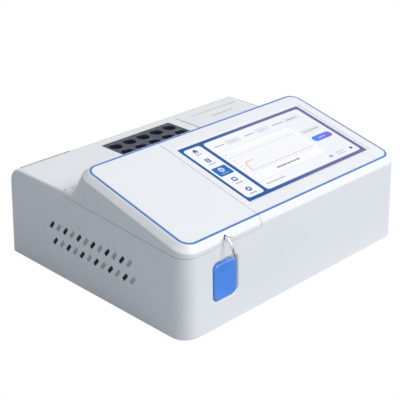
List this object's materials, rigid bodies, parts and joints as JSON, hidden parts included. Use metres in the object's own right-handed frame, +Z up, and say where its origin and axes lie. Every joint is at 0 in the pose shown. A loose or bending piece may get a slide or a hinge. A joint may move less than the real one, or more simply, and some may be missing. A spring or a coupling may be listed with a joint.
{
  "type": "semi-automatic biochemistry analyzer",
  "caption": "White bench-top biochemistry analyzer with a sloping touch screen, hinged left cover over a fluid bay, blue aspirate key under a steel needle, tube incubator and paper printer",
  "frame": {"origin": "centre of the casing's footprint on the bench, under the feet", "axes": "+Z up, +X to the operator's right, -Y towards the operator, so the aspirate key and needle are on the -Y face"},
  "size_m": [0.2778, 0.2438, 0.1132],
  "materials": {
    "white_shell": "satin moulded white, slightly cool",
    "blue_line": "smooth blue inlay",
    "key_blue": "satin bright blue",
    "touch_glass": "clear touch glass",
    "display": "lit display face with a violet and white interface",
    "sheet_steel": "zinc plated sheet",
    "dark_alloy": "dark anodised block",
    "heater_film": "amber heater film",
    "bright_alloy": "clear anodised",
    "steel_pin": "turned steel",
    "needle_steel": "polished stainless steel",
    "motor_can": "drawn steel shell",
    "clear_glass": "clear quartz",
    "clear_tube": "clear flexible tube",
    "silicone": "milky silicone",
    "circuit_board": "green solder mask with dark parts",
    "grey_plastic": "fine texture grey",
    "light_plastic": "natural nylon",
    "paper": "thermal paper",
    "black_rubber": "matt black rubber",
    "dark_plastic": "fine texture black"
  },
  "bodies": {
    "casing": {"base_plate": "sheet_steel", "bay_tray": "grey_plastic", "cell_block": "bright_alloy", "cell_tube": "clear_tube", "control_board": "circuit_board", "cover_hinge_pin": "steel_pin", "detector_board": "circuit_board", "display_bracket": "sheet_steel", "door_hinge_pin": "steel_pin", "drain_fitting": "light_plastic", "drain_tube": "clear_tube", "fan_frame": "dark_plastic", "filter_motor": "motor_can", "flow_cell": "clear_glass", "foot_front_left": "black_rubber", "foot_front_right": "black_rubber", "foot_rear_left": "black_rubber", "foot_rear_right": "black_rubber", "heater_plate": "heater_film", "incubator_block": "dark_alloy", "incubator_stand": "sheet_steel", "key_bracket": "sheet_steel", "key_pin": "steel_pin", "key_switch": "dark_plastic", "lamp": "clear_glass", "lamp_housing": "bright_alloy", "lcd_module": "display", "main_board": "circuit_board", "needle_holder": "dark_plastic", "panel_stripe": "blue_line", "power_inlet": "dark_plastic", "power_supply": "circuit_board", "power_switch": "dark_plastic", "print_head": "dark_plastic", "printer_tray": "grey_plastic", "pump_head": "dark_plastic", "pump_motor": "motor_can", "pump_tube": "silicone", "rear_plate": "dark_plastic", "rear_plate_screw_1": "steel_pin", "rear_plate_screw_2": "steel_pin", "rear_plate_screw_3": "steel_pin", "rear_plate_screw_4": "steel_pin", "serial_port": "motor_can", "suction_needle": "needle_steel", "suction_tube": "clear_tube", "touch_glass": "touch_glass", "upper_casing": "white_shell", "usb_port": "motor_can"},
    "cover": {"left_cover": "white_shell", "cover_stripe": "blue_line"},
    "door": {"printer_door": "white_shell"},
    "platen": {"platen_roller": "black_rubber"},
    "roll": {"paper_roll": "paper", "paper_spindle": "dark_plastic"},
    "key": {"aspirate_key": "key_blue"},
    "rocker": {"power_rocker": "dark_plastic"},
    "fan": {"fan_rotor": "dark_plastic"},
    "pump": {"pump_rotor": "light_plastic"},
    "wheel": {"filter_wheel": "dark_plastic"}
  },
  "joints": [
    {"name": "cover_hinge", "type": "hinge", "parent": "casing", "child": "cover", "pos_m": [-0.09475, 0.0345, 0.0857], "axis": [-1, 0, 0], "range_deg": [0, 95]},
    {"name": "printer_door_hinge", "type": "hinge", "parent": "casing", "child": "door", "pos_m": [0.0919, 0.035, 0.0857], "axis": [1, 0, 0], "range_deg": [0, 100]},
    {"name": "platen_axle", "type": "hinge", "parent": "door", "child": "platen", "pos_m": [0.0955, 0.081, 0.0785], "axis": [1, 0, 0], "continuous": true},
    {"name": "roll_axle", "type": "hinge", "parent": "casing", "child": "roll", "pos_m": [0.0955, 0.0585, 0.0645], "axis": [1, 0, 0], "continuous": true},
    {"name": "key_hinge", "type": "hinge", "parent": "casing", "child": "key", "pos_m": [-0.0934, -0.09933, 0.05371], "axis": [1, 0, 0], "range_deg": [0, 1.5], "stiffness_Nm_per_rad": 0.3},
    {"name": "rocker_hinge", "type": "hinge", "parent": "casing", "child": "rocker", "pos_m": [-0.07835, 0.11299, 0.06171], "axis": [1, 0, 0], "range_deg": [0, 14]},
    {"name": "fan_axle", "type": "hinge", "parent": "casing", "child": "fan", "pos_m": [-0.0058, 0.10177, 0.04296], "axis": [0, 0.9997, 0.0225], "continuous": true},
    {"name": "pump_axle", "type": "hinge", "parent": "casing", "child": "pump", "pos_m": [-0.0765, -0.0012, 0.0579], "axis": [0, 0, 1], "continuous": true},
    {"name": "wheel_axle", "type": "hinge", "parent": "casing", "child": "wheel", "pos_m": [-0.0985, -0.05033, 0.07717], "axis": [1, 0, 0], "continuous": true}
  ]
}
